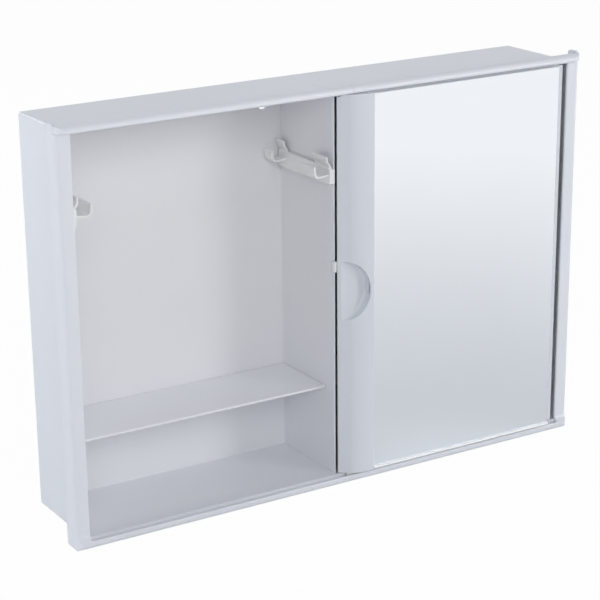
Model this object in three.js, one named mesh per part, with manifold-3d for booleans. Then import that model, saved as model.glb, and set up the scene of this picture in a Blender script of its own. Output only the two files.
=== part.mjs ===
// Wall-hung bathroom cabinet with one sliding mirror door.
// Millimetres, +Z up. The origin is the centre of the tub's back face, which lies against the wall.
// The front faces -Y. Depths are counted forward from the wall, so a depth d lies at y = -d.
import * as THREE from 'three';
import { mergeVertices } from 'three/addons/utils/BufferGeometryUtils.js';
import Module from 'manifold-3d';

const wasm = await Module();
wasm.setup();

// ---------------------------------------------------------------- driving dimensions
const CLEARANCE = 0.3; // between pieces that are seated on each other

// Moulded tub
const TUB_WIDTH = 418.2; // outside, at the wall
const TUB_HEIGHT = 290.2; // outside, at the wall
const TUB_DEPTH = 76; // wall to the front edge of floor and top
const TUB_FLARE = 0.3; // mould draft: what each side moves out from back to front
const TUB_CORNER = 2; // outer corner radius seen from the front
const TUB_BACK_EDGE = 1.1; // rounding of the edge round the back face
const TUB_INNER_CORNER = 1.2;
const TUB_INNER_EDGE = 0.8; // inside, round the back wall
const SKIN = 1.8; // side walls, top, floor and back

// Divider between the two compartments
const DIVIDER_X = -0.6;
const DIVIDER_ROOT = 2.2; // thickness at the back wall
const DIVIDER_TIP = 1.4; // thickness at the front edge
const DIVIDER_SETBACK = 3.2; // its front edge, behind the tub's

// Front frame
const FRAME_OVERHANG = 8.6; // past the tub on both sides
const FRAME_RISE = 4.8; // above the tub's top
const FRAME_DROP = 6.6; // below the tub's floor
const FRAME_SKIN = 1.8;
const FRAME_CORNER = 2.8; // lower corners, seen from the front
const RETURN_DEPTH = 12.2; // how far the frame's rim turns back
const EAR_RISE = 1; // how far the side rims rise above the visor, behind it
const EAR_ROUND = 2.6;
const EAR_FRONT_ROUND = 0.9;
const STRIP_WIDTH = 12; // side strips
const STRIP_OUTER_ROUND = 4;
const STRIP_INNER_ROUND = 1.2;
const STRIP_ROOT = 5; // how far back the strip's inner side blends into the wall
const LIP_HEIGHT = 6.5; // bottom lip, above the frame's lower edge
const LIP_ROUND = 0.8;
const LIP_UNDER_ROUND = 5.5; // lower front edge
const LIP_BLEND = 4.5; // height over which a side strip swings forward to the lip
const TRACK_WIDTH = 2; // clear width of both door tracks
const TRACK_WALL = 1.8; // lip and visor in front of the tracks
const SILL_THICKNESS = 1.6; // wall behind the lower track
const VISOR_HEIGHT = 5.3;
const VISOR_ROUND = 4.5; // front top edge

// Keyhole slots for the wall screws
const KEYHOLE_HEAD = 3.8; // radius
const KEYHOLE_NECK = 2.1; // radius
const KEYHOLE_RISE = 8; // head centre to the top seat of the screw
const KEYHOLE_FROM_TOP = 18.6; // head centre below the tub's top
const KEYHOLE_INNER = 17; // from the middle of the cabinet
const KEYHOLE_OUTER = 188;

// Shelves
const SHELF_TOP = 68.4; // above the tub's underside
const SHELF_THICKNESS = 2;
const SHELF_SETBACK = 14.5; // its front edge, behind the tub's
const LEDGE_WIDTH = 2.2;
const LEDGE_HEIGHT = 1.8;
const LEDGE_SETBACK = 4.5; // behind the shelf's front edge

// Razor and brush holders
const HOLDER_DROP = 65.8; // lower edge of the plate, below the tub's top
const HOLDER_HEIGHT = 12.6;
const HOLDER_PLATE = 3;
const HOLDER_BACK = 3.5; // depth of the back end
const HOLDER_SETBACK = 0.8; // front end, behind the divider's front edge
const HOLDER_ARM = 15; // how far the arms stand out
const HOLDER_ARM_SKIN = 1.5;
const HOLDER_ARM_ROOT = 7.4; // above the plate's lower edge
const HOLDER_ARM_DROP = 1; // from the root to the bend
const HOLDER_BEND = 4; // size of the bends in arm and guard
const HOLDER_EDGE_ROUND = 1;
const HOLDER_LIP_TOP = 14.8; // above the plate's lower edge
const HOLDER_GUARD_TOP = 20.7; // above the plate's lower edge
const HOLDER_GUARD_SKIN = 1.2;
const HOLDER_FRONT_PRONG = 19; // length along the depth
const HOLDER_BACK_PRONG = 10.5;
const HOLDER_PEG = 2; // radius
const HOLDER_PEG_INSET = 14; // pegs, from both ends of the plate
const HOLDER_HOOK_REACH = 1.1; // past the divider's face, round its front edge
const HOLDER_HOOK_SKIN = 0.8;
const HOLDER_HOOK_INSET = 1; // from the plate's lower and upper edges

// Sliding door
const DOOR_START_GAP = 0.5; // divider edge to the door's left edge
const DOOR_END_GAP = 4.5; // door's right edge to the side strip
const DOOR_OPEN_GAP = 1.6; // door's left edge to the side strip when it is slid over
const DOOR_EDGE_GAP = 0.6; // above and below, to the tub
const DOOR_BACK_GAP = 1.4; // divider edge to the door's back
const DOOR_VISOR_GAP = 0.4; // top of the door's raised front to the visor
const PANEL_THICKNESS = 4.5;
const PANEL_SKIN = 2;
const PANEL_RIB = 2;
const PANEL_COLUMNS = 4;
const PANEL_ROWS = 6;
const PANEL_END = 20; // solid margin along the top and bottom edges, where the glides sit
const PANEL_RIM = 9; // thin margin right of the mirror
const PANEL_RIM_SKIN = 1.8;
const STILE_WIDTH = 26.2;
const STILE_PROUD = 2; // crest above the mirror's face
const STILE_EDGE = 0.7; // upright part of its left edge
const STILE_SLOPE = 6.9; // width of the slope beside that edge
const STILE_SLOPE_RISE = 5.5;
const STILE_CROWN = 4.5; // width over which the slope bends into the crown
const STILE_EDGE_ROUND = 1.3;
const STILE_WALL = 2.2;
const STILE_FOOT = 3.5; // solid width at its left edge, beside the hollow
const STILE_CATCH = 4; // how far the mirror is tucked under the stile
const RECESS_RADIUS = 23;
const RECESS_FLOOR = 2.3; // floor of the finger recess, above the door's back
const RECESS_FILLET = 2.5;

// Mirror
const MIRROR_THICKNESS = 3;
const MIRROR_TOP_GAP = 0.6; // below the door's raised front
const MIRROR_SIDE_LAP = 1; // past the raised bed, over the thin rim
const MIRROR_BEVEL = 0.5;
const MIRROR_CORNER = 1.5;
const TAPE_THICKNESS = 0.8;
const TAPE_WIDTH = 18;
const TAPE_COUNT = 3;
const TAPE_END_GAP = 14;
const TRIM_HEIGHT = 2;
const TRIM_FOOT = 1.1; // thickness under the mirror
const TRIM_LIP = 1.5; // thickness in front of the mirror
const TRIM_ROUND = 1.2;

// Glides and stops
const GLIDE_LENGTH = 24;
const GLIDE_INSET = 6; // from the door's edges
const GLIDE_BODY = 6; // height of the part held in the door
const GLIDE_PLAY = 0.4; // each side in the track
const GLIDE_FLOAT = 0.3; // above the floor of the lower track
const GLIDE_HEADROOM = 1; // below the roof of the upper track
const GLIDE_ROUND = 2;
const STOP_HEIGHT = 3;
const PAD_HEIGHT = 8; // spacer pad on the divider's edge
const PAD_CENTRE = 18; // above the middle of the cabinet
const PAD_DEPTH = 3;

// ---------------------------------------------------------------- places worked out from them
const tubHalf = TUB_WIDTH / 2;
const tubRise = TUB_HEIGHT / 2; // half height at the back
const mouthHalf = tubHalf + TUB_FLARE; // half width at the front
const mouthRise = tubRise + TUB_FLARE; // half height at the front
const frameHalf = mouthHalf + FRAME_OVERHANG;
const frameTop = mouthRise + FRAME_RISE;
const frameBottom = -mouthRise - FRAME_DROP;
const openingHalf = frameHalf - STRIP_WIDTH;
const returnBack = TUB_DEPTH - RETURN_DEPTH;
const trackFront = TUB_DEPTH + TRACK_WIDTH;
const railFront = trackFront + TRACK_WALL;
const endRound = railFront - TUB_DEPTH + STRIP_OUTER_ROUND; // plan rounding of visor and lip ends
const visorBottom = frameTop - VISOR_HEIGHT;
const visorRoof = frameTop - FRAME_SKIN;
const visorBack = TUB_DEPTH - FRAME_SKIN;
const stripTop = visorBottom - CLEARANCE;
const earTop = frameTop + EAR_RISE;
const lipTop = frameBottom + LIP_HEIGHT;
const trackFloor = frameBottom + FRAME_SKIN;
const shelfTop = -tubRise + SHELF_TOP;
const shelfReach = TUB_DEPTH - SHELF_SETBACK;
const ledgeReach = shelfReach - LEDGE_SETBACK;
const dividerReach = TUB_DEPTH - DIVIDER_SETBACK;
const holderBottom = tubRise - HOLDER_DROP;
const holderFront = dividerReach - HOLDER_SETBACK;

const doorLeft = DIVIDER_X + DIVIDER_TIP / 2 + DOOR_START_GAP;
const doorRight = openingHalf - DOOR_END_GAP;
const doorTravel = doorLeft + openingHalf - DOOR_OPEN_GAP;
const doorRise = mouthRise - SKIN - DOOR_EDGE_GAP; // half height
const doorTop = visorBottom - DOOR_VISOR_GAP; // top of the raised front
const doorBack = dividerReach + DOOR_BACK_GAP;
const panelFront = doorBack + PANEL_THICKNESS;
const mirrorBack = panelFront + TAPE_THICKNESS;
const mirrorFront = mirrorBack + MIRROR_THICKNESS;
const stileRight = doorLeft + STILE_WIDTH;
const stileFront = mirrorFront + STILE_PROUD;
const mirrorLeft = stileRight - STILE_CATCH;
const mirrorRight = doorRight - PANEL_RIM + MIRROR_SIDE_LAP;
const mirrorBottom = -doorRise + TRIM_FOOT;
const mirrorTop = doorTop - MIRROR_TOP_GAP;
const glideBack = doorBack + CLEARANCE;
const tongueBack = TUB_DEPTH + GLIDE_PLAY;
const tongueFront = trackFront - GLIDE_PLAY;

// ---------------------------------------------------------------- shape helpers
const OVERRUN = 5; // how far a cutting solid passes the face that it cuts
const ARC_STEPS = 8;
const CROWN_STEPS = 16; // along the stile's crown
const FOOT_STEPS = 8; // up the foot of a side strip
const ARM_STEPS = 16; // along a holder's arm
const GUARD_STEPS = 10; // along a holder's guard
const KEYHOLE_STEPS = 20; // round a keyhole's head
const PEG_SIDES = 20;
const DISH_SIDES = 72;

function solid(geometry) {
  geometry.deleteAttribute('normal');
  geometry.deleteAttribute('uv');
  const merged = mergeVertices(geometry, 1e-4);
  const mesh = new wasm.Mesh({
    numProp: 3,
    vertProperties: new Float32Array(merged.attributes.position.array),
    triVerts: new Uint32Array(merged.index.array),
  });
  return new wasm.Manifold(mesh);
}

function geometryOf(body) {
  const mesh = body.getMesh();
  const geometry = new THREE.BufferGeometry();
  geometry.setAttribute('position', new THREE.BufferAttribute(new Float32Array(mesh.vertProperties), 3));
  geometry.setIndex(new THREE.BufferAttribute(new Uint32Array(mesh.triVerts), 1));
  geometry.computeVertexNormals();
  return geometry;
}

function joined(bodies) {
  return bodies.reduce((whole, body) => whole.add(body));
}

function cut(body, tools) {
  return tools.reduce((rest, tool) => rest.subtract(tool), body);
}

function box(x0, x1, depth0, depth1, z0, z1) {
  const geometry = new THREE.BoxGeometry(x1 - x0, depth1 - depth0, z1 - z0);
  geometry.translate((x0 + x1) / 2, -(depth0 + depth1) / 2, (z0 + z1) / 2);
  return solid(geometry);
}

function extrusion(shape, length, options) {
  return new THREE.ExtrudeGeometry(shape, {
    depth: length, steps: 1, bevelEnabled: false, curveSegments: ARC_STEPS, ...options,
  });
}

// Depth is drawn along +y and turned to the front here
function facingFront(geometry) {
  geometry.applyMatrix4(new THREE.Matrix4().makeScale(1, -1, 1));
  flipFaces(geometry);
  return solid(geometry);
}

// A shape drawn as (x, depth), raised from z0 to z1
function upright(shape, z0, z1, options) {
  const geometry = extrusion(shape, z1 - z0, options);
  geometry.translate(0, 0, z0);
  return facingFront(geometry);
}

// A shape drawn as (depth, z), run sideways from x0 to x1
function sideways(shape, x0, x1) {
  const geometry = extrusion(shape, x1 - x0);
  const depthAxis = new THREE.Vector3(0, -1, 0);
  const heightAxis = new THREE.Vector3(0, 0, 1);
  const runAxis = new THREE.Vector3(-1, 0, 0);
  geometry.applyMatrix4(new THREE.Matrix4().makeBasis(depthAxis, heightAxis, runAxis));
  geometry.translate(x1, 0, 0);
  return solid(geometry);
}

// A shape drawn as (x, z), run forward from one depth to another
function forward(shape, depth0, depth1, options) {
  const geometry = extrusion(shape, depth1 - depth0, options);
  geometry.rotateX(Math.PI / 2);
  geometry.translate(0, -depth0, 0);
  return solid(geometry);
}

function flipFaces(geometry) {
  const position = geometry.attributes.position;
  for (let i = 0; i < position.count; i += 3) {
    const kept = new THREE.Vector3().fromBufferAttribute(position, i + 1);
    position.setXYZ(i + 1, position.getX(i + 2), position.getY(i + 2), position.getZ(i + 2));
    position.setXYZ(i + 2, kept.x, kept.y, kept.z);
  }
}

function polygon(points) {
  return new THREE.Shape(points.map(([a, b]) => new THREE.Vector2(a, b)));
}

function roundedRectangle(left, right, low, high, lowRadius, highRadius = lowRadius) {
  const shape = new THREE.Shape();
  shape.moveTo(left + lowRadius, low);
  shape.lineTo(right - lowRadius, low);
  shape.absarc(right - lowRadius, low + lowRadius, lowRadius, -Math.PI / 2, 0, false);
  shape.lineTo(right, high - highRadius);
  shape.absarc(right - highRadius, high - highRadius, highRadius, 0, Math.PI / 2, false);
  shape.lineTo(left + highRadius, high);
  shape.absarc(left + highRadius, high - highRadius, highRadius, Math.PI / 2, Math.PI, false);
  shape.lineTo(left, low + lowRadius);
  shape.absarc(left + lowRadius, low + lowRadius, lowRadius, Math.PI, Math.PI * 1.5, false);
  return shape;
}

// A band of even thickness along a curve, with round ends
function ribbon(curve, thickness, steps) {
  const points = curve.getSpacedPoints(steps);
  const left = [];
  const right = [];
  for (let i = 0; i <= steps; i += 1) {
    const tangent = curve.getTangentAt(i / steps);
    const normal = new THREE.Vector2(-tangent.y, tangent.x).multiplyScalar(thickness / 2);
    left.push(points[i].clone().add(normal));
    right.push(points[i].clone().sub(normal));
  }
  const cap = (centre, from) => {
    const start = Math.atan2(from.y - centre.y, from.x - centre.x);
    const arc = [];
    for (let i = 1; i < ARC_STEPS; i += 1) {
      const angle = start - Math.PI * i / ARC_STEPS;
      const reach = new THREE.Vector2(Math.cos(angle), Math.sin(angle)).multiplyScalar(thickness / 2);
      arc.push(centre.clone().add(reach));
    }
    return arc;
  };
  const end = cap(points[steps], left[steps]);
  const start = cap(points[0], right[0]);
  return new THREE.Shape([...left, ...end, ...right.reverse(), ...start]);
}

// Mould draft: everything moves out from the middle as it comes forward
function drafted(geometry) {
  const position = geometry.attributes.position;
  for (let i = 0; i < position.count; i += 1) {
    const growth = TUB_FLARE * -position.getY(i) / TUB_DEPTH;
    position.setX(i, position.getX(i) * (1 + growth / tubHalf));
    position.setZ(i, position.getZ(i) * (1 + growth / tubRise));
  }
  return geometry;
}

// A drafted block that is rounded round its back face and runs past the tub's front
function draftedBlock(inset, corner, edge) {
  const shape = roundedRectangle(
    -tubHalf + inset, tubHalf - inset, -tubRise + inset, tubRise - inset, corner,
  );
  const length = TUB_DEPTH + OVERRUN - inset;
  const geometry = extrusion(shape, length, {
    bevelEnabled: true, bevelThickness: edge, bevelSize: edge, bevelOffset: -edge, bevelSegments: 3,
  });
  geometry.rotateX(Math.PI / 2);
  geometry.translate(0, -inset - edge, 0);
  return solid(drafted(geometry));
}

function mirrored(body) {
  return body.mirror([1, 0, 0]);
}

function peg(radius, x0, x1, depth, z) {
  const geometry = new THREE.CylinderGeometry(radius, radius, x1 - x0, PEG_SIDES);
  geometry.rotateZ(Math.PI / 2);
  geometry.translate((x0 + x1) / 2, -depth, z);
  return solid(geometry);
}

// Inner face of the side walls, and the divider's faces, at a given depth
const wallFace = (depth) => tubHalf - SKIN + TUB_FLARE * depth / TUB_DEPTH;
const dividerHalf = (depth) => {
  const share = (depth - SKIN) / (dividerReach - SKIN);
  return THREE.MathUtils.lerp(DIVIDER_ROOT, DIVIDER_TIP, share) / 2;
};

// ---------------------------------------------------------------- cabinet body
function dividerWall() {
  const plan = new THREE.Shape();
  const round = DIVIDER_TIP / 2;
  const root = DIVIDER_ROOT / 2;
  plan.moveTo(DIVIDER_X - root, SKIN / 2);
  plan.lineTo(DIVIDER_X - round, dividerReach - round);
  plan.absarc(DIVIDER_X, dividerReach - round, round, Math.PI, 0, true);
  plan.lineTo(DIVIDER_X + root, SKIN / 2);
  return upright(plan, -tubRise + SKIN / 2, tubRise - SKIN / 2);
}

// Side strip seen from above, with its channel still filled: rounded outside and inside
function stripPlan() {
  const plan = new THREE.Shape();
  const outer = frameHalf - STRIP_OUTER_ROUND;
  const inner = openingHalf + STRIP_INNER_ROUND;
  const sideFront = TUB_DEPTH - STRIP_INNER_ROUND;
  const root = sideFront - STRIP_ROOT;
  plan.moveTo(frameHalf, returnBack);
  plan.lineTo(frameHalf, TUB_DEPTH - STRIP_OUTER_ROUND);
  plan.absarc(outer, TUB_DEPTH - STRIP_OUTER_ROUND, STRIP_OUTER_ROUND, 0, Math.PI / 2, false);
  plan.lineTo(inner, TUB_DEPTH);
  plan.absarc(inner, sideFront, STRIP_INNER_ROUND, Math.PI / 2, Math.PI, false);
  plan.lineTo(wallFace(root), root);
  plan.lineTo(mouthHalf - SKIN / 2, root);
  plan.lineTo(mouthHalf - SKIN / 2, returnBack);
  return plan;
}

// The strip is even over most of its height, and the front of its foot swings forward to the lip.
// Ring 0 is its lower end, the next ones climb the foot, and the last is its upper end.
function sideStrip() {
  const rings = FOOT_STEPS + 2;
  const roundBack = TUB_DEPTH - STRIP_OUTER_ROUND;
  const geometry = extrusion(stripPlan(), rings, { steps: rings });
  const position = geometry.attributes.position;
  for (let i = 0; i < position.count; i += 1) {
    const ring = Math.round(position.getZ(i));
    const climb = (ring - 1) / FOOT_STEPS;
    const swing = THREE.MathUtils.clamp(1 - climb, 0, 1) ** 2;
    const depth = position.getY(i);
    const share = Math.max(0, (depth - roundBack) / STRIP_OUTER_ROUND);
    position.setY(i, depth + (railFront - TUB_DEPTH) * swing * share);
    position.setZ(i, lipTop + LIP_BLEND * climb);
    if (ring === 0) {
      position.setZ(i, frameBottom);
    }
    if (ring === rings) {
      position.setZ(i, stripTop);
    }
  }
  const channel = box(mouthHalf - SKIN / 2, frameHalf - FRAME_SKIN, returnBack - OVERRUN, visorBack,
    trackFloor, stripTop + OVERRUN);
  return facingFront(geometry).subtract(channel);
}

// Lower rail seen from the side: rim, track floor, lip and the sill behind the track
function lowerRail() {
  const side = new THREE.Shape();
  const sillTop = -mouthRise + SKIN / 2;
  side.moveTo(returnBack, frameBottom);
  side.lineTo(railFront, frameBottom);
  side.lineTo(railFront, lipTop - LIP_ROUND);
  side.absarc(railFront - LIP_ROUND, lipTop - LIP_ROUND, LIP_ROUND, 0, Math.PI / 2, false);
  side.lineTo(trackFront, lipTop);
  side.lineTo(trackFront, trackFloor);
  side.lineTo(TUB_DEPTH, trackFloor);
  side.lineTo(TUB_DEPTH, sillTop);
  side.lineTo(TUB_DEPTH - SILL_THICKNESS, sillTop);
  side.lineTo(TUB_DEPTH - SILL_THICKNESS, trackFloor);
  side.lineTo(returnBack, trackFloor);
  return sideways(side, -frameHalf, frameHalf);
}

// What the frame fills, from its outlines seen from the front, from above and from the side
function frameEnvelope() {
  const face = roundedRectangle(-frameHalf, frameHalf, frameBottom, stripTop, FRAME_CORNER, CLEARANCE);
  const plan = roundedRectangle(-frameHalf, frameHalf, returnBack - endRound, railFront, endRound);
  const side = new THREE.Shape();
  const nose = railFront - LIP_UNDER_ROUND;
  side.moveTo(returnBack, frameBottom);
  side.lineTo(nose, frameBottom);
  side.absarc(nose, frameBottom + LIP_UNDER_ROUND, LIP_UNDER_ROUND, -Math.PI / 2, 0, false);
  side.lineTo(railFront, stripTop);
  side.lineTo(returnBack, stripTop);
  return forward(face, returnBack, railFront)
    .intersect(upright(plan, frameBottom, stripTop))
    .intersect(sideways(side, -frameHalf, frameHalf));
}

// The rim that turns back round the lower corners and along the bottom
function lowerRim() {
  const half = frameHalf - FRAME_SKIN;
  const inside = roundedRectangle(-half, half, trackFloor, stripTop + OVERRUN, FRAME_CORNER - FRAME_SKIN);
  return frameEnvelope()
    .subtract(forward(inside, returnBack - OVERRUN, visorBack))
    .intersect(box(-frameHalf, frameHalf, returnBack, visorBack, frameBottom, lipTop));
}

// Behind the visor the right strip's rim rises as an ear with rounded corners
function ear() {
  const side = new THREE.Shape();
  const front = visorBack - CLEARANCE;
  const low = stripTop - EAR_ROUND;
  side.moveTo(returnBack, low);
  side.lineTo(front, low);
  side.lineTo(front, earTop - EAR_FRONT_ROUND);
  side.absarc(front - EAR_FRONT_ROUND, earTop - EAR_FRONT_ROUND, EAR_FRONT_ROUND, 0, Math.PI / 2, false);
  side.lineTo(returnBack + EAR_ROUND, earTop);
  side.absarc(returnBack + EAR_ROUND, earTop - EAR_ROUND, EAR_ROUND, Math.PI / 2, Math.PI, false);
  return sideways(side, frameHalf - FRAME_SKIN, frameHalf).intersect(upright(stripPlan(), low, earTop));
}

function keyhole(x) {
  const centre = tubRise - KEYHOLE_FROM_TOP;
  const outline = new THREE.Shape();
  const meet = Math.asin(KEYHOLE_NECK / KEYHOLE_HEAD);
  const side = Math.PI / 2 - meet;
  outline.absarc(x, centre, KEYHOLE_HEAD, side, Math.PI - side, true);
  outline.lineTo(x - KEYHOLE_NECK, centre + KEYHOLE_RISE);
  outline.absarc(x, centre + KEYHOLE_RISE, KEYHOLE_NECK, Math.PI, 0, true);
  return forward(outline, -OVERRUN, SKIN + OVERRUN, { curveSegments: KEYHOLE_STEPS });
}

// Ledges under the shelves, on both side walls and both faces of the divider
function shelfLedges() {
  const top = shelfTop - SHELF_THICKNESS;
  const ledge = (face, side) => {
    const root = face - side * SKIN / 2;
    const edge = face + side * LEDGE_WIDTH;
    return box(Math.min(root, edge), Math.max(root, edge), SKIN / 2, ledgeReach, top - LEDGE_HEIGHT, top);
  };
  const tip = dividerHalf(ledgeReach);
  return [
    ledge(-wallFace(0), 1),
    ledge(DIVIDER_X - tip, -1),
    ledge(DIVIDER_X + tip, 1),
    ledge(wallFace(0), -1),
  ];
}

function holderPegDepths() {
  return [HOLDER_BACK + HOLDER_PEG_INSET, holderFront - HOLDER_PEG_INSET];
}

// Blind sockets in the left wall, and holes through the divider
function holderSockets() {
  const z = holderBottom + HOLDER_HEIGHT / 2;
  const radius = HOLDER_PEG + CLEARANCE;
  return holderPegDepths().flatMap((depth) => [
    peg(radius, -tubHalf + SKIN / 2, -openingHalf, depth, z),
    peg(radius, DIVIDER_X - OVERRUN, DIVIDER_X + OVERRUN, depth, z),
  ]);
}

function padNotch() {
  const back = dividerReach - PAD_DEPTH - CLEARANCE;
  const half = PAD_HEIGHT / 2 + CLEARANCE;
  return box(DIVIDER_X - OVERRUN, DIVIDER_X + OVERRUN, back, dividerReach + OVERRUN,
    PAD_CENTRE - half, PAD_CENTRE + half);
}

function cabinetBody() {
  const beyond = box(-frameHalf, frameHalf, TUB_DEPTH, TUB_DEPTH + OVERRUN * 3, -frameHalf, frameHalf);
  const shell = draftedBlock(0, TUB_CORNER, TUB_BACK_EDGE);
  const hollow = draftedBlock(SKIN, TUB_INNER_CORNER, TUB_INNER_EDGE);
  const tub = shell.subtract(beyond).subtract(hollow);
  const strip = sideStrip();
  const track = box(-openingHalf, openingHalf, TUB_DEPTH, trackFront, trackFloor, lipTop + OVERRUN);
  const frame = joined([strip, mirrored(strip), lowerRail()])
    .intersect(frameEnvelope())
    .add(lowerRim())
    .subtract(hollowCore())
    .subtract(track);
  const solids = [tub, frame, ear(), mirrored(ear()), dividerWall(), ...shelfLedges()];
  const holes = [-KEYHOLE_OUTER, -KEYHOLE_INNER, KEYHOLE_INNER, KEYHOLE_OUTER].map(keyhole);
  return cut(joined(solids), [...holes, ...holderSockets(), padNotch()]);
}

// The space inside the tub that the frame must not fill, between the side strips
function hollowCore() {
  const top = mouthRise - SKIN;
  return box(-openingHalf, openingHalf, returnBack - OVERRUN, TUB_DEPTH - SILL_THICKNESS, -top, top);
}

// ---------------------------------------------------------------- top rail
function topRail() {
  const side = new THREE.Shape();
  side.moveTo(railFront, visorBottom);
  side.lineTo(railFront, frameTop - VISOR_ROUND);
  side.absarc(railFront - VISOR_ROUND, frameTop - VISOR_ROUND, VISOR_ROUND, 0, Math.PI / 2, false);
  side.lineTo(visorBack, frameTop);
  side.lineTo(visorBack, visorBottom);
  const plan = roundedRectangle(-frameHalf, frameHalf, visorBack - endRound * 2, railFront, endRound);
  const low = visorBottom - OVERRUN;
  const seat = mouthHalf + CLEARANCE;
  return sideways(side, -frameHalf, frameHalf)
    .intersect(upright(plan, low, frameTop + OVERRUN))
    .subtract(box(-openingHalf, openingHalf, TUB_DEPTH, trackFront, low, visorRoof))
    .subtract(box(-seat, seat, visorBack - OVERRUN, TUB_DEPTH, low, mouthRise + CLEARANCE));
}

// ---------------------------------------------------------------- shelves
function shelf(left, right) {
  const back = SKIN + CLEARANCE;
  const plan = polygon([
    [left(back) + CLEARANCE, back], [right(back) - CLEARANCE, back],
    [right(shelfReach) - CLEARANCE, shelfReach], [left(shelfReach) + CLEARANCE, shelfReach],
  ]);
  const round = SHELF_THICKNESS / 2;
  const side = new THREE.Shape();
  side.moveTo(back, shelfTop - SHELF_THICKNESS);
  side.lineTo(shelfReach - round, shelfTop - SHELF_THICKNESS);
  side.absarc(shelfReach - round, shelfTop - round, round, -Math.PI / 2, Math.PI / 2, false);
  side.lineTo(back, shelfTop);
  return sideways(side, -tubHalf, tubHalf)
    .intersect(upright(plan, shelfTop - SHELF_THICKNESS * 2, shelfTop + SHELF_THICKNESS));
}

// ---------------------------------------------------------------- holders
// Drawn for a wall on the left: u runs away from the wall, w runs up from the plate's lower edge
function holder(wall, pegEnd, hooked) {
  const plate = roundedRectangle(wall, wall + HOLDER_PLATE, holderBottom, holderBottom + HOLDER_HEIGHT,
    HOLDER_EDGE_ROUND);
  const at = (u, w) => new THREE.Vector2(wall + u, holderBottom + w);
  const outer = HOLDER_ARM - HOLDER_ARM_SKIN / 2;
  const bendStart = outer - HOLDER_BEND;
  const armLow = HOLDER_ARM_ROOT - HOLDER_ARM_DROP;
  const armRise = HOLDER_ARM_ROOT + HOLDER_BEND;
  const lipEnd = HOLDER_LIP_TOP - HOLDER_ARM_SKIN / 2;
  const arm = new THREE.CurvePath();
  arm.add(new THREE.LineCurve(at(HOLDER_PLATE / 2, HOLDER_ARM_ROOT), at(bendStart, armLow)));
  arm.add(new THREE.QuadraticBezierCurve(at(bendStart, armLow), at(outer, armLow), at(outer, armRise)));
  arm.add(new THREE.LineCurve(at(outer, armRise), at(outer, lipEnd)));
  const guardEnd = HOLDER_GUARD_TOP - HOLDER_GUARD_SKIN / 2;
  const guardOut = HOLDER_PLATE + HOLDER_GUARD_SKIN;
  const guard = new THREE.CubicBezierCurve(
    at(HOLDER_PLATE / 2, HOLDER_HEIGHT - HOLDER_EDGE_ROUND),
    at(HOLDER_PLATE / 2, HOLDER_HEIGHT + HOLDER_BEND),
    at(guardOut, HOLDER_HEIGHT + HOLDER_EDGE_ROUND),
    at(guardOut, guardEnd),
  );
  const armShape = ribbon(arm, HOLDER_ARM_SKIN, ARM_STEPS);
  const guardShape = ribbon(guard, HOLDER_GUARD_SKIN, GUARD_STEPS);
  const prongs = [
    [HOLDER_BACK, HOLDER_BACK + HOLDER_BACK_PRONG],
    [holderFront - HOLDER_FRONT_PRONG, holderFront],
  ];
  const pieces = [forward(plate, HOLDER_BACK, holderFront)];
  for (const [start, end] of prongs) {
    pieces.push(forward(armShape, start, end));
    pieces.push(forward(guardShape, start, end));
  }
  const z = holderBottom + HOLDER_HEIGHT / 2;
  for (const depth of holderPegDepths()) {
    pieces.push(peg(HOLDER_PEG, pegEnd, wall + HOLDER_PLATE / 2, depth, z));
  }
  if (hooked) {
    const back = dividerReach + CLEARANCE;
    const front = back + HOLDER_HOOK_SKIN;
    const low = holderBottom + HOLDER_HOOK_INSET;
    const high = holderBottom + HOLDER_HEIGHT - HOLDER_HOOK_INSET;
    const right = wall + HOLDER_PLATE;
    pieces.push(box(wall - HOLDER_HOOK_REACH, right, back, front, low, high));
    pieces.push(box(wall, right, holderFront - HOLDER_HOOK_SKIN, front, low, high));
  }
  return joined(pieces);
}

// ---------------------------------------------------------------- door
// Door seen from above: thin rim, raised mirror bed, and the crowned handle stile with its glass slot
function doorPlan() {
  const plan = new THREE.Shape();
  const slopeRight = doorLeft + STILE_SLOPE;
  const slopeFront = doorBack + STILE_EDGE + STILE_SLOPE_RISE;
  const rimLeft = doorRight - PANEL_RIM;
  const rimFront = doorBack + PANEL_RIM_SKIN;
  const slotFront = mirrorFront + CLEARANCE;
  const slotBack = mirrorBack - CLEARANCE;
  plan.moveTo(doorLeft, doorBack);
  plan.lineTo(doorLeft, doorBack + STILE_EDGE);
  plan.lineTo(slopeRight, slopeFront);
  plan.quadraticCurveTo(slopeRight + STILE_CROWN, stileFront, stileRight - STILE_EDGE_ROUND, stileFront);
  plan.absarc(stileRight - STILE_EDGE_ROUND, stileFront - STILE_EDGE_ROUND, STILE_EDGE_ROUND,
    Math.PI / 2, 0, true);
  plan.lineTo(stileRight, slotFront);
  plan.lineTo(mirrorLeft - CLEARANCE, slotFront);
  plan.lineTo(mirrorLeft - CLEARANCE, slotBack);
  plan.lineTo(stileRight, slotBack);
  plan.lineTo(stileRight, panelFront);
  plan.lineTo(rimLeft, panelFront);
  plan.lineTo(rimLeft, rimFront);
  plan.lineTo(doorRight, rimFront);
  plan.lineTo(doorRight, doorBack);
  return plan;
}

// Hollow behind the stile, which follows its crown at an even wall
function stileHollow() {
  const plan = new THREE.Shape();
  const slopeRight = doorLeft + STILE_SLOPE + STILE_WALL / 2;
  const slopeFront = doorBack + STILE_EDGE + STILE_SLOPE_RISE - STILE_WALL;
  const right = mirrorLeft - CLEARANCE - STILE_WALL;
  plan.moveTo(doorLeft + STILE_FOOT, doorBack - OVERRUN);
  plan.lineTo(doorLeft + STILE_FOOT, doorBack + STILE_EDGE / 2);
  plan.lineTo(slopeRight, slopeFront);
  plan.quadraticCurveTo(slopeRight + STILE_CROWN, stileFront - STILE_WALL, right, stileFront - STILE_WALL);
  plan.lineTo(right, doorBack - OVERRUN);
  return plan;
}

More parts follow.
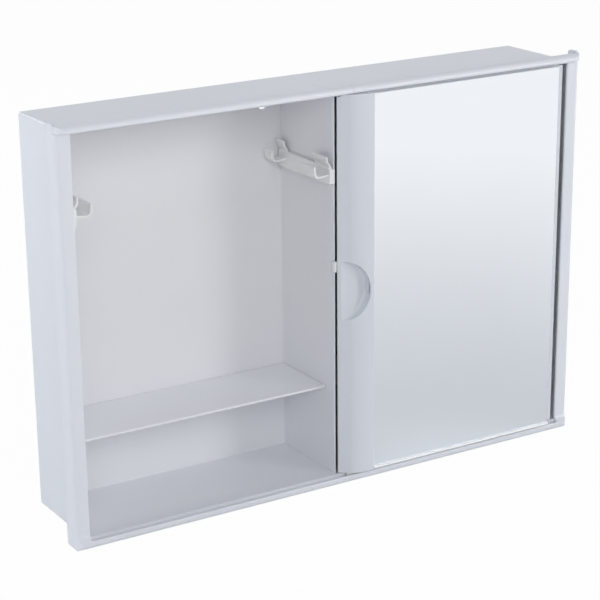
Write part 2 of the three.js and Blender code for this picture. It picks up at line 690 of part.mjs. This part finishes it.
// The finger recess is a round dish that opens at the stile's left edge
function fingerDish(radius, floor) {
  const profile = [
    new THREE.Vector2(0, floor),
    new THREE.Vector2(radius - RECESS_FILLET, floor),
  ];
  for (let i = 1; i <= ARC_STEPS; i += 1) {
    const angle = Math.PI / 2 * i / ARC_STEPS;
    profile.push(new THREE.Vector2(
      radius - RECESS_FILLET + RECESS_FILLET * Math.sin(angle),
      floor + RECESS_FILLET * (1 - Math.cos(angle)),
    ));
  }
  profile.push(new THREE.Vector2(radius, stileFront + OVERRUN));
  profile.push(new THREE.Vector2(0, stileFront + OVERRUN));
  const geometry = new THREE.LatheGeometry(profile, DISH_SIDES);
  geometry.rotateX(Math.PI);
  geometry.translate(doorLeft - CLEARANCE, 0, 0);
  return solid(geometry);
}

function glideLefts() {
  return [doorLeft + GLIDE_INSET, doorRight - GLIDE_INSET - GLIDE_LENGTH];
}

// In front of the tub's edge the door rises as far as the visor
function doorBlank(crown) {
  const behind = box(doorLeft, doorRight, 0, TUB_DEPTH + CLEARANCE, -doorTop, doorTop + OVERRUN);
  const front = upright(doorPlan(), 0, doorTop, crown).subtract(behind);
  return upright(doorPlan(), -doorRise, doorRise, crown).add(front);
}

function doorPanel() {
  const crown = { curveSegments: CROWN_STEPS };
  const hollowRise = doorRise - PANEL_END;
  const guarded = fingerDish(RECESS_RADIUS + STILE_WALL, doorBack);
  const pockets = [upright(stileHollow(), -hollowRise, hollowRise, crown).subtract(guarded)];
  const left = stileRight + PANEL_RIB;
  const right = doorRight - PANEL_RIM - PANEL_RIB;
  const columnPitch = (right - left + PANEL_RIB) / PANEL_COLUMNS;
  const rowPitch = (hollowRise * 2 + PANEL_RIB) / PANEL_ROWS;
  for (let column = 0; column < PANEL_COLUMNS; column += 1) {
    for (let row = 0; row < PANEL_ROWS; row += 1) {
      const x = left + column * columnPitch;
      const z = -hollowRise + row * rowPitch;
      pockets.push(box(x, x + columnPitch - PANEL_RIB, doorBack - OVERRUN, panelFront - PANEL_SKIN,
        z, z + rowPitch - PANEL_RIB));
    }
  }
  const notches = glideLefts().flatMap((x) => {
    const start = doorRise - GLIDE_BODY - CLEARANCE;
    const front = tongueFront + CLEARANCE;
    const end = doorRise + OVERRUN;
    return [
      box(x - CLEARANCE, x + GLIDE_LENGTH + CLEARANCE, doorBack - OVERRUN, front, start, end),
      box(x - CLEARANCE, x + GLIDE_LENGTH + CLEARANCE, doorBack - OVERRUN, front, -end, -start),
    ];
  });
  const dish = fingerDish(RECESS_RADIUS, doorBack + RECESS_FLOOR);
  return cut(doorBlank(crown), [...pockets, ...notches, dish]);
}

function mirrorGlass() {
  const face = roundedRectangle(mirrorLeft, mirrorRight, mirrorBottom, mirrorTop, MIRROR_CORNER);
  return forward(face, mirrorBack + MIRROR_BEVEL, mirrorFront - MIRROR_BEVEL, {
    bevelEnabled: true, bevelThickness: MIRROR_BEVEL, bevelSize: MIRROR_BEVEL,
    bevelOffset: -MIRROR_BEVEL, bevelSegments: 1,
  });
}

function mirrorTape(index) {
  const span = mirrorRight - stileRight;
  const x = stileRight + span * (index + 0.5) / TAPE_COUNT;
  return box(x - TAPE_WIDTH / 2, x + TAPE_WIDTH / 2, panelFront, mirrorBack,
    mirrorBottom + TAPE_END_GAP, mirrorTop - TAPE_END_GAP);
}

// J-shaped strip that carries the mirror's lower edge
function mirrorTrim() {
  const side = new THREE.Shape();
  const low = -doorRise;
  const lipBack = mirrorFront + CLEARANCE;
  const lipFront = lipBack + TRIM_LIP;
  side.moveTo(panelFront, low);
  side.lineTo(lipFront - TRIM_ROUND / 2, low);
  side.lineTo(lipFront, low + TRIM_ROUND / 2);
  side.lineTo(lipFront, low + TRIM_HEIGHT - TRIM_ROUND);
  side.absarc(lipFront - TRIM_ROUND, low + TRIM_HEIGHT - TRIM_ROUND, TRIM_ROUND, 0, Math.PI / 2, false);
  side.lineTo(lipBack, low + TRIM_HEIGHT);
  side.lineTo(lipBack, low + TRIM_FOOT);
  side.lineTo(panelFront, low + TRIM_FOOT);
  return sideways(side, stileRight + CLEARANCE, mirrorRight);
}

// Glide: a body held in the door's notch and a round-ended tongue that runs in the track
function glide(left, tip, side) {
  const edge = doorRise - GLIDE_BODY;
  const body = box(left, left + GLIDE_LENGTH, glideBack, tongueFront, edge, doorRise);
  const face = roundedRectangle(left, left + GLIDE_LENGTH, edge, tip, GLIDE_ROUND);
  const tongue = forward(face, tongueBack, tongueFront);
  const whole = body.add(tongue);
  return side > 0 ? whole : whole.mirror([0, 0, 1]);
}

function doorStop(left, right) {
  return box(left, right, TUB_DEPTH + CLEARANCE, trackFront - CLEARANCE,
    trackFloor + CLEARANCE, trackFloor + CLEARANCE + STOP_HEIGHT);
}

function dividerPad() {
  const half = DIVIDER_TIP / 2;
  return box(DIVIDER_X - half, doorLeft + CLEARANCE, dividerReach - PAD_DEPTH, doorBack - CLEARANCE,
    PAD_CENTRE - PAD_HEIGHT / 2, PAD_CENTRE + PAD_HEIGHT / 2);
}

// ---------------------------------------------------------------- assembly
const WHITE = { color: 0xe9ecf1, roughness: 0.35, metalness: 0 };
const SATIN = { color: 0xe6e9ef, roughness: 0.3, metalness: 0 };
const GLASS = { color: 0xd3d8de, roughness: 0.03, metalness: 1 };
const NYLON = { color: 0xdfe1e0, roughness: 0.5, metalness: 0 };
const RUBBER = { color: 0x8a8d91, roughness: 0.8, metalness: 0 };
const FOAM = { color: 0xd8d8d2, roughness: 0.9, metalness: 0 };

const cabinet = new THREE.Group();
cabinet.name = 'cabinet';
const door = new THREE.Group();
door.name = 'door';
cabinet.add(door);

function place(parent, name, body, look) {
  const mesh = new THREE.Mesh(geometryOf(body), new THREE.MeshStandardMaterial(look));
  mesh.name = name;
  parent.add(mesh);
}

const leftFace = (depth) => DIVIDER_X - dividerHalf(depth);
const rightFace = (depth) => DIVIDER_X + dividerHalf(depth);
const leftWall = (depth) => -wallFace(depth);
place(cabinet, 'cabinet_body', cabinetBody(), WHITE);
place(cabinet, 'top_rail', topRail(), WHITE);
place(cabinet, 'shelf_left', shelf(leftWall, leftFace), WHITE);
place(cabinet, 'shelf_right', shelf(rightFace, wallFace), WHITE);
const wallSide = -openingHalf + CLEARANCE;
const dividerSide = DIVIDER_X - DIVIDER_ROOT / 2 - CLEARANCE;
place(cabinet, 'holder_left', holder(wallSide, -tubHalf + SKIN / 2 + CLEARANCE, false), SATIN);
place(cabinet, 'holder_right', mirrored(holder(-dividerSide, -DIVIDER_X - DIVIDER_TIP / 2, true)), SATIN);
place(cabinet, 'divider_pad', dividerPad(), NYLON);

const glideTips = { bottom: -trackFloor - GLIDE_FLOAT, top: visorRoof - GLIDE_HEADROOM };
const [glideLeft, glideRight] = glideLefts();
const stopStart = openingHalf - CLEARANCE;
const leftStopEnd = glideLeft - doorTravel - CLEARANCE;
const rightStopEnd = glideRight + GLIDE_LENGTH + CLEARANCE;
place(cabinet, 'door_stop_left', doorStop(-stopStart, leftStopEnd), RUBBER);
place(cabinet, 'door_stop_right', doorStop(rightStopEnd, stopStart), RUBBER);

place(door, 'door_panel', doorPanel(), SATIN);
place(door, 'mirror_glass', mirrorGlass(), GLASS);
place(door, 'mirror_trim', mirrorTrim(), SATIN);
for (let i = 0; i < TAPE_COUNT; i += 1) {
  place(door, `mirror_tape_${i + 1}`, mirrorTape(i), FOAM);
}
place(door, 'glide_bottom_left', glide(glideLeft, glideTips.bottom, -1), NYLON);
place(door, 'glide_bottom_right', glide(glideRight, glideTips.bottom, -1), NYLON);
place(door, 'glide_top_left', glide(glideLeft, glideTips.top, 1), NYLON);
place(door, 'glide_top_right', glide(glideRight, glideTips.top, 1), NYLON);

export default cabinet;
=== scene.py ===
import math
import bmesh
import bpy
from mathutils import Matrix, Vector


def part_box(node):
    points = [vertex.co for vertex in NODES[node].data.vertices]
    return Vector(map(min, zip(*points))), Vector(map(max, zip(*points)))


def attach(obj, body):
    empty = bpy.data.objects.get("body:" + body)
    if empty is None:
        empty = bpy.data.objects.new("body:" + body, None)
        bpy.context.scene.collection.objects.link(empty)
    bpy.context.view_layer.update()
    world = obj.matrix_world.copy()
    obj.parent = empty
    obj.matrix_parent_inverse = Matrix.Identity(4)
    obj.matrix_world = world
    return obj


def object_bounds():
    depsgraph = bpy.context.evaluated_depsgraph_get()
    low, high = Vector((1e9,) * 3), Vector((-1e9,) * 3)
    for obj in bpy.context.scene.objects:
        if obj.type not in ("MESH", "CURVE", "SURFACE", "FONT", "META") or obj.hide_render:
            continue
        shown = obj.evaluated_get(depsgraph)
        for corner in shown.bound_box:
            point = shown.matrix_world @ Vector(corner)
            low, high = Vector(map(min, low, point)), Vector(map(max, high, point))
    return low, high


# Wall-hung bathroom cabinet with a sliding mirror door: its finishes, the studio and the camera.
# Metres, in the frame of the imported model: +Z up, the front faces -Y and the back lies at y = 0.

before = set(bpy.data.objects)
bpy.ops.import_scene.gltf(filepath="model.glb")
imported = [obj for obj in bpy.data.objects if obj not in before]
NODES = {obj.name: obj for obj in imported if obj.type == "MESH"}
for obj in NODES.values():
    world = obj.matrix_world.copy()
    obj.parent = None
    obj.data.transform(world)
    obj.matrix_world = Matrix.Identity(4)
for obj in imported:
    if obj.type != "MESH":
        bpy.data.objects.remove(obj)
cad_low, cad_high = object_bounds()

MM = 0.001
BEVEL_SAMPLES = 4
NOISE_BULK = (0.3, 0.7)  # most of a noise texture's values lie between these
WHITE = (1, 1, 1, 1)


# ---------------------------------------------------------------- node helpers
class NodeTree:
    """Adds nodes to one tree and links them by socket name."""

    def __init__(self, tree):
        self.tree = tree
        tree.nodes.clear()

    def add(self, kind, **inputs):
        node = self.tree.nodes.new(kind)
        for socket, value in inputs.items():
            self.feed(node.inputs[socket.replace("_", " ")], value)
        return node

    def feed(self, socket, value):
        if isinstance(value, bpy.types.NodeSocket):
            self.tree.links.new(value, socket)
        else:
            socket.default_value = value

    def span(self, value, low, high, new_low=0.0, new_high=1.0):
        node = self.add("ShaderNodeMapRange")
        for index, number in enumerate((value, low, high, new_low, new_high)):
            self.feed(node.inputs[index], number)
        return node.outputs[0]

    def math(self, operation, first, second=0.0):
        node = self.add("ShaderNodeMath")
        node.operation = operation
        self.feed(node.inputs[0], first)
        self.feed(node.inputs[1], second)
        return node.outputs[0]

    def mix_shaders(self, share, first, second):
        node = self.add("ShaderNodeMixShader")
        for index, value in enumerate((share, first, second)):
            self.feed(node.inputs[index], value)
        return node.outputs[0]

    def seen_directly(self):
        """1 for rays from the camera, and 1 for rays in reflections and glass."""
        path = self.add("ShaderNodeLightPath").outputs
        mirrored = self.math("MAXIMUM", path["Is Glossy Ray"], path["Is Transmission Ray"])
        return path["Is Camera Ray"], mirrored


class Shader(NodeTree):
    """One material, with its textures placed by the object's own coordinates."""

    def __init__(self, name):
        self.material = bpy.data.materials.new(name)
        self.material.use_nodes = True
        super().__init__(self.material.node_tree)
        self.output = self.add("ShaderNodeOutputMaterial")
        self.place = self.add("ShaderNodeTexCoord").outputs["Object"]

    def axes(self):
        return self.add("ShaderNodeSeparateXYZ", Vector=self.place).outputs

    def noise(self, scale, detail=3.0, stretch=(1, 1, 1)):
        spread = self.add("ShaderNodeMapping", Scale=stretch, Vector=self.place)
        node = self.add("ShaderNodeTexNoise", Scale=scale, Detail=detail, Vector=spread.outputs[0])
        return node.outputs["Fac"]

    def mix(self, share, first, second):
        node = self.add("ShaderNodeMix")
        node.data_type = "RGBA"
        self.feed(node.inputs["Factor"], share)
        self.feed(node.inputs[6], first)
        self.feed(node.inputs[7], second)
        return node.outputs[2]

    def bump(self, height, strength, distance, normal=None):
        node = self.add("ShaderNodeBump", Height=height, Strength=strength, Distance=distance)
        if normal is not None:
            self.feed(node.inputs["Normal"], normal)
        return node.outputs[0]

    def rounded(self, radius):
        """Shading normal of an edge that is rounded to this radius."""
        node = self.add("ShaderNodeBevel", Radius=radius)
        node.samples = BEVEL_SAMPLES
        return node.outputs[0]

    def surface(self, **inputs):
        return self.add("ShaderNodeBsdfPrincipled", **inputs).outputs[0]

    def finish(self, surface):
        self.feed(self.output.inputs["Surface"], surface)
        return self.material


# ---------------------------------------------------------------- moulded plastic
TUB_SIDE = -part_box("shelf_left")[0].x  # inner face of the tub's side walls
TUB_RISE = 144.2 * MM  # middle of the tub's top and bottom walls
WALL_MIDDLE = 0.9 * MM  # half of the tub's wall
SOFT_EDGE = 0.4 * MM  # over which the painted inside light gives way to the outside look
RIM_DEPTH = (60 * MM, 74 * MM)  # the painted inside light ends between these depths
PAINTED_BOUNCE_HEIGHTS = (-120 * MM, -20 * MM)  # heights over which the painted bounce light inside gives way to the plain painted inside tint

SINK_WIDTH = 1.4 * MM
SINK_DEPTH = 0.12 * MM
SINK_EDGE = 0.2 * MM  # above the middle of the tub's top wall, where the mark sets in
SINK_BEND = 1.8  # how far the sink line swings sideways, per metre of depth squared

WHITE_LIGHT = (0.816, 0.840, 0.892, 1)
WHITE_SHADE = (0.802, 0.827, 0.880, 1)
# painted light: the inside tint stands in for the neutral light in the compartments; the low one is painted
# bounce light near their bottom
WHITE_INSIDE_PAINTED_TINT = (0.826, 0.830, 0.856, 1)
WHITE_INSIDE_PAINTED_BOUNCE = (0.868, 0.880, 0.918, 1)
# painted shade in the dip of the sink mark
SINK_PAINTED_SHADE = (0.765, 0.788, 0.840, 1)
DOOR_LIGHT = (0.738, 0.767, 0.828, 1)
DOOR_SHADE = (0.726, 0.756, 0.817, 1)
HOLDER_LIGHT = (0.90, 0.90, 0.905, 1)
HOLDER_SHADE = (0.88, 0.882, 0.89, 1)
SATIN_GLOSS = (0.22, 0.26)
TUB_GLOSS = (0.29, 0.34)


def painted_light_inside_mask(s):
    """1 on the faces inside the compartments, where the painted light goes, 0 on the outside and on the
    front frame.
    """
    where = s.axes()
    side = s.math("ABSOLUTE", where["X"])
    across = s.span(side, TUB_SIDE + SOFT_EDGE, TUB_SIDE + 2 * WALL_MIDDLE, 1.0, 0.0)
    height = s.math("ABSOLUTE", where["Z"])
    upright = s.span(height, TUB_RISE - SOFT_EDGE, TUB_RISE + SOFT_EDGE, 1.0, 0.0)
    depth = s.math("MULTIPLY", where["Y"], -1.0)
    behind_rim = s.span(depth, *RIM_DEPTH, 1.0, 0.0)
    off_the_back = s.span(depth, WALL_MIDDLE / 2, WALL_MIDDLE)
    walls = s.math("MULTIPLY", across, upright)
    return s.math("MULTIPLY", walls, s.math("MULTIPLY", behind_rim, off_the_back))


def sink_line(s):
    """0 along the faint curved sink mark that the divider leaves across the tub's top, 1 elsewhere. It
    carries both the real dip and the painted shade in it.
    """
    where = s.axes()
    bend = s.math("MULTIPLY", s.math("MULTIPLY", where["Y"], where["Y"]), SINK_BEND)
    off = s.math("ABSOLUTE", s.math("SUBTRACT", where["X"], bend))
    low = s.span(where["Z"], TUB_RISE, TUB_RISE + SINK_EDGE, 1.0, 0.0)
    return s.math("MAXIMUM", s.span(off, 0.0, SINK_WIDTH), low)


def painted_inside_light(s):
    """Painted light of the compartments: a tint that stands in for the neutral light inside, and painted
    bounce light that makes the white lighter towards the bottom.
    """
    return s.mix(s.span(s.axes()["Z"], *PAINTED_BOUNCE_HEIGHTS), WHITE_INSIDE_PAINTED_BOUNCE, WHITE_INSIDE_PAINTED_TINT)


def moulded_plastic(name, light, shade, gloss, edge, painted_inside_and_sink=False):
    """Injection-moulded polystyrene: slow colour drift, and gloss that varies along faint flow marks. On
    the tub, the compartments also get painted light and the sink mark painted shade.
    """
    s = Shader(name)
    colour = s.mix(s.span(s.noise(5.0, 2.0), *NOISE_BULK), light, shade)
    shape = s.rounded(edge)
    # on the tub: painted light inside the compartments, and the sink mark as a real dip with painted shade
    # in it
    if painted_inside_and_sink:
        colour = s.mix(painted_light_inside_mask(s), colour, painted_inside_light(s))
        sink = sink_line(s)
        colour = s.mix(sink, SINK_PAINTED_SHADE, colour)
        shape = s.bump(sink, 1.0, SINK_DEPTH, shape)
    flow = s.noise(22.0, 3.0, stretch=(1.0, 1.0, 0.4))
    rough = s.span(flow, *NOISE_BULK, *gloss)
    waves = s.bump(s.noise(16.0, 1.0), 0.03, 0.4 * MM, shape)
    return s.finish(s.surface(Base_Color=colour, Roughness=rough, Normal=waves))


# ---------------------------------------------------------------- glass, trim and small pieces
TRIM_METAL = 0.1
TRIM_TONES = ((0.80, 0.815, 0.84, 1), (0.85, 0.86, 0.88, 1))
TRIM_GLOSS = (0.16, 0.26)
TRIM_EDGE = 0.3 * MM
MIRROR_TONES = ((0.868, 0.90, 0.938, 1), (0.848, 0.88, 0.923, 1))
MIRROR_GLOSS = (0.012, 0.05)
GLASS_EDGE_TONES = ((0.56, 0.62, 0.65, 1), (0.66, 0.71, 0.74, 1))
GLASS_EDGE_GLOSS = (0.28, 0.45)
NYLON_TONES = ((0.72, 0.73, 0.71, 1), (0.80, 0.81, 0.80, 1))
NYLON_GLOSS = (0.4, 0.55)
RUBBER_TONES = ((0.20, 0.21, 0.22, 1), (0.27, 0.28, 0.29, 1))
RUBBER_GLOSS = (0.7, 0.9)
FOAM_TONES = ((0.58, 0.58, 0.55, 1), (0.72, 0.72, 0.69, 1))
FOAM_GLOSS = (0.8, 0.95)


def polished_trim():
    """Bright drawn strip under the mirror, with fine draw lines along it."""
    s = Shader("polished_trim")
    lines = s.noise(900.0, 3.0, stretch=(0.01, 1.0, 1.0))
    colour = s.mix(lines, *TRIM_TONES)
    rough = s.span(lines, *NOISE_BULK, *TRIM_GLOSS)
    normal = s.bump(lines, 0.08, 0.02 * MM, s.rounded(TRIM_EDGE))
    return s.finish(s.surface(Base_Color=colour, Metallic=TRIM_METAL, Roughness=rough, Normal=normal))


def silvered_glass():
    """Mirror face: near-perfect reflection with faint wipe marks."""
    s = Shader("silvered_glass")
    wipe = s.noise(9.0, 5.0, stretch=(1.0, 1.0, 0.35))
    gloss = s.span(wipe, 0.45, 0.8, *MIRROR_GLOSS)
    tint = s.mix(s.span(wipe, 0.3, 0.9), *MIRROR_TONES)
    return s.finish(s.surface(Base_Color=tint, Metallic=1.0, Roughness=gloss))


def ground_glass():
    """Ground and seamed edge of the mirror."""
    s = Shader("ground_glass")
    scratch = s.noise(420.0, 4.0, stretch=(1.0, 1.0, 0.2))
    colour = s.mix(scratch, *GLASS_EDGE_TONES)
    rough = s.span(scratch, *NOISE_BULK, *GLASS_EDGE_GLOSS)
    normal = s.bump(scratch, 0.3, 0.05 * MM)
    return s.finish(s.surface(Base_Color=colour, Roughness=rough, Normal=normal))


def nylon():
    """Natural nylon, cloudy and matt."""
    s = Shader("nylon")
    colour = s.mix(s.noise(60.0), *NYLON_TONES)
    rough = s.span(s.noise(300.0), *NOISE_BULK, *NYLON_GLOSS)
    normal = s.bump(s.noise(900.0), 0.1, 0.03 * MM)
    return s.finish(s.surface(Base_Color=colour, Roughness=rough, Normal=normal))


def rubber():
    """Grey rubber with a fine speckle."""
    s = Shader("rubber")
    speck = s.noise(500.0, 4.0)
    colour = s.mix(speck, *RUBBER_TONES)
    rough = s.span(speck, *NOISE_BULK, *RUBBER_GLOSS)
    normal = s.bump(speck, 0.4, 0.08 * MM)
    return s.finish(s.surface(Base_Color=colour, Roughness=rough, Normal=normal))


def foam():
    """Closed-cell foam tape."""
    s = Shader("foam")
    cells = s.add("ShaderNodeTexVoronoi", Scale=1400.0, Vector=s.place).outputs["Distance"]
    colour = s.mix(cells, *FOAM_TONES)
    rough = s.span(cells, 0.0, 0.8, *FOAM_GLOSS)
    normal = s.bump(cells, 0.5, 0.15 * MM)
    return s.finish(s.surface(Base_Color=colour, Roughness=rough, Normal=normal))


# ---------------------------------------------------------------- finishes of the CAD nodes
MIRROR_FACE = -0.99  # a face of the glass is silvered where its normal's y lies below this

# the tub's white carries painted light inside the compartments and painted shade in the sink mark
white = moulded_plastic("white_moulding", WHITE_LIGHT, WHITE_SHADE, TUB_GLOSS, 0.7 * MM, painted_inside_and_sink=True)
satin = moulded_plastic("door_moulding", DOOR_LIGHT, DOOR_SHADE, SATIN_GLOSS, 0.5 * MM)
holder_white = moulded_plastic("holder_moulding", HOLDER_LIGHT, HOLDER_SHADE, SATIN_GLOSS, 0.3 * MM)

LOOKS = {
    "cabinet_body": (white, "white_moulding"),
    "top_rail": (white, "white_moulding"),
    "shelf": (white, "white_moulding"),
    "holder": (holder_white, "door_moulding"),
    "door_panel": (satin, "door_moulding"),
    "mirror_trim": (polished_trim(), "door_moulding"),
    "mirror_glass": (silvered_glass(), "mirror"),
    "divider_pad": (holder_white, "nylon"),
    "glide": (nylon(), "nylon"),
    "door_stop": (rubber(), "rubber"),
    "mirror_tape": (foam(), "foam_tape"),
}


def dress(name, node):
    """Gives a CAD node its finish. Numbered and sided copies share the finish of their kind."""
    kind = next(kind for kind in LOOKS if name.startswith(kind))
    look, slot_name = LOOKS[kind]
    node.data.materials.clear()
    node.data.materials.append(look)


for node_name, cad_node in NODES.items():
    dress(node_name, cad_node)

glass = NODES["mirror_glass"].data
glass.materials.append(ground_glass())
for face in glass.polygons:
    face.material_index = 0 if face.normal.y < MIRROR_FACE else 1


# ---------------------------------------------------------------- liner of the finger recess
RECESS_OFFSET = 0.3 * MM  # the recess is centred this far outside the door's left edge
LINER_RADIUS = 22.9 * MM
LINER_GLASS_GAP = 0.1 * MM
LINER_SKIN = 0.35 * MM
LINER_LAP = 0.35 * MM  # past the glass, behind and in front
LINER_HALF_ANGLE = math.radians(22)
LINER_STEPS = 24


def recess_liner():
    """Thin lip on the right of the finger recess, which covers the glass's edge."""
    door_low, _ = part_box("door_panel")
    glass_low, glass_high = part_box("mirror_glass")
    middle = door_low.x - RECESS_OFFSET
    reach = glass_low.x - middle - LINER_GLASS_GAP
    front = glass_low.y - LINER_LAP
    rear = glass_high.y + LINER_LAP
    shell = bmesh.new()
    rings = []
    for step in range(LINER_STEPS + 1):
        angle = LINER_HALF_ANGLE * (2 * step / LINER_STEPS - 1)
        outer = min(LINER_RADIUS, reach / math.cos(angle))
        inner = outer - LINER_SKIN
        section = [
            (outer, front),
            (inner, front + LINER_SKIN),
            (inner, rear - LINER_SKIN / 2),
            (outer, rear),
        ]
        places = [(middle + r * math.cos(angle), y, r * math.sin(angle)) for r, y in section]
        rings.append([shell.verts.new(place) for place in places])
    for lower, upper in zip(rings, rings[1:]):
        for index in range(len(lower)):
            after = (index + 1) % len(lower)
            shell.faces.new((lower[index], lower[after], upper[after], upper[index]))
    shell.faces.new(rings[0])
    shell.faces.new(reversed(rings[-1]))
    bmesh.ops.recalc_face_normals(shell, faces=shell.faces)
    mesh = bpy.data.meshes.new("recess_liner")
    shell.to_mesh(mesh)
    shell.free()
    mesh.materials.append(satin)
    piece = bpy.data.objects.new("recess_liner", mesh)
    bpy.context.scene.collection.objects.link(piece)
    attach(piece, "door")


recess_liner()


# ---------------------------------------------------------------- floor
FLOOR_REACH = 15.0
FLOOR_TONES = ((0.93, 0.935, 0.94, 1), (0.92, 0.925, 0.93, 1))
PAPER_GLOSS = 0.9
WHITE_SHARE_CAMERA = 0.97  # how far the floor turns to plain white for the camera
WHITE_SHARE_NEAR = 0.0  # the same in reflections, beside the cabinet
WHITE_SHARE_FAR = 1.0
FADE_START = 0.1
FADE_REACH = 1.15


def studio_paper():
    """White paper that keeps the shadow and, in reflections, fades to plain white away from the cabinet."""
    s = Shader("studio_paper")
    paper = s.surface(Base_Color=s.mix(s.noise(2.0), *FLOOR_TONES), Roughness=PAPER_GLOSS)
    plain = s.add("ShaderNodeEmission", Color=WHITE, Strength=1.0).outputs[0]
    away = s.add("ShaderNodeVectorMath", Vector=s.place)
    away.operation = "LENGTH"
    fade = s.span(away.outputs["Value"], FADE_START, FADE_REACH, WHITE_SHARE_NEAR, WHITE_SHARE_FAR)
    by_eye, by_mirror = s.seen_directly()
    share_by_eye = s.math("MULTIPLY", by_eye, WHITE_SHARE_CAMERA)
    share = s.math("MAXIMUM", share_by_eye, s.math("MULTIPLY", by_mirror, fade))
    return s.finish(s.mix_shaders(share, paper, plain))


def studio_floor():
    """One wide flat sheet under the cabinet."""
    signs = [(-1, -1), (1, -1), (1, 1), (-1, 1)]
    corners = [(x * FLOOR_REACH, y * FLOOR_REACH, cad_low.z) for x, y in signs]
    mesh = bpy.data.meshes.new("floor")
    mesh.from_pydata(corners, [], [(0, 1, 2, 3)])
    mesh.materials.append(studio_paper())
    floor = bpy.data.objects.new("floor", mesh)
    bpy.context.scene.collection.objects.link(floor)


studio_floor()


# ---------------------------------------------------------------- light
DAYLIGHT = (0.955, 0.975, 1.0, 1)
AMBIENT_BACK = 0.06
AMBIENT_FRONT = 0.26
LEFT_TINT = (0.965, 0.98, 1.0)
NEUTRAL = (1.0, 0.99, 0.985)
COOL = (0.81, 0.895, 1.0)


def studio_world():
    """Plain white where it is seen, and weak daylight, stronger from the front, where it lights."""
    world = bpy.data.worlds.new("studio")
    bpy.context.scene.world = world
    world.use_nodes = True
    w = NodeTree(world.node_tree)
    direction = w.add("ShaderNodeTexCoord").outputs["Generated"]
    depth = w.add("ShaderNodeSeparateXYZ", Vector=direction).outputs["Y"]
    strength = w.span(depth, 1.0, -1.0, AMBIENT_BACK, AMBIENT_FRONT)
    ambient = w.add("ShaderNodeBackground", Color=DAYLIGHT, Strength=strength).outputs[0]
    seen = w.add("ShaderNodeBackground", Color=WHITE, Strength=1.0).outputs[0]
    share = w.math("MAXIMUM", *w.seen_directly())
    w.add("ShaderNodeOutputWorld", Surface=w.mix_shaders(share, ambient, seen))


def softbox(name, place, width, height, watts, colour):
    """Rectangular lamp that faces the middle of the cabinet."""
    data = bpy.data.lights.new(name, "AREA")
    data.shape = "RECTANGLE"
    data.size = width
    data.size_y = height
    data.energy = watts
    data.color = colour
    lamp = bpy.data.objects.new(name, data)
    lamp.location = place
    middle = (cad_low + cad_high) / 2
    lamp.rotation_euler = (middle - Vector(place)).to_track_quat("-Z", "Y").to_euler()
    bpy.context.scene.collection.objects.link(lamp)


studio_world()
softbox("left_softbox", (-2.0, 0.3, 0.3), 1.0, 0.8, 12.5, LEFT_TINT)
softbox("front_left_softbox", (-0.9, -1.9, 0.95), 1.4, 0.9, 12.6, NEUTRAL)
softbox("front_right_softbox", (1.35, -1.85, 0.7), 0.7, 1.1, 10.6, NEUTRAL)
softbox("right_softbox", (2.3, -0.8, 0.4), 0.8, 1.2, 12.0, NEUTRAL)
softbox("front_top_softbox", (-0.1, -1.0, 1.75), 1.0, 0.6, 1.8, COOL)
softbox("high_back_softbox", (0.3, 1.2, 1.8), 1.4, 1.0, 7.0, COOL)
softbox("rim_softbox", (-0.85, 2.0, 1.23), 0.5, 0.5, 9.5, COOL)


# ---------------------------------------------------------------- camera
CAMERA_PLACE = Vector((-0.73918, -1.22292, 0.43816))
CAMERA_AZIMUTH = math.radians(-31.626)
CAMERA_ELEVATION = math.radians(20.069)
CAMERA_ROLL = math.radians(-0.590)
SENSOR_WIDTH = 36.0  # millimetres, as the lens
LENS = 118.43
SHIFT_UP = 0.1167
CLIP_START = 0.01


def place_camera():
    """Long lens from the front left and above, rolled a little."""
    back = Vector((
        math.sin(CAMERA_AZIMUTH) * math.cos(CAMERA_ELEVATION),
        -math.cos(CAMERA_AZIMUTH) * math.cos(CAMERA_ELEVATION),
        math.sin(CAMERA_ELEVATION),
    ))
    level = Vector((math.cos(CAMERA_AZIMUTH), math.sin(CAMERA_AZIMUTH), 0.0))
    rise = back.cross(level)
    right = level * math.cos(CAMERA_ROLL) + rise * math.sin(CAMERA_ROLL)
    up = rise * math.cos(CAMERA_ROLL) - level * math.sin(CAMERA_ROLL)
    turn = Matrix((right, up, back)).transposed().to_4x4()
    data = bpy.data.cameras.new("camera")
    data.sensor_width = SENSOR_WIDTH
    data.lens = LENS
    data.shift_y = SHIFT_UP
    data.clip_start = CLIP_START
    camera = bpy.data.objects.new("camera", data)
    camera.matrix_world = Matrix.Translation(CAMERA_PLACE) @ turn
    bpy.context.scene.collection.objects.link(camera)
    bpy.context.scene.camera = camera


place_camera()
bpy.context.scene.view_settings.view_transform = "Standard"
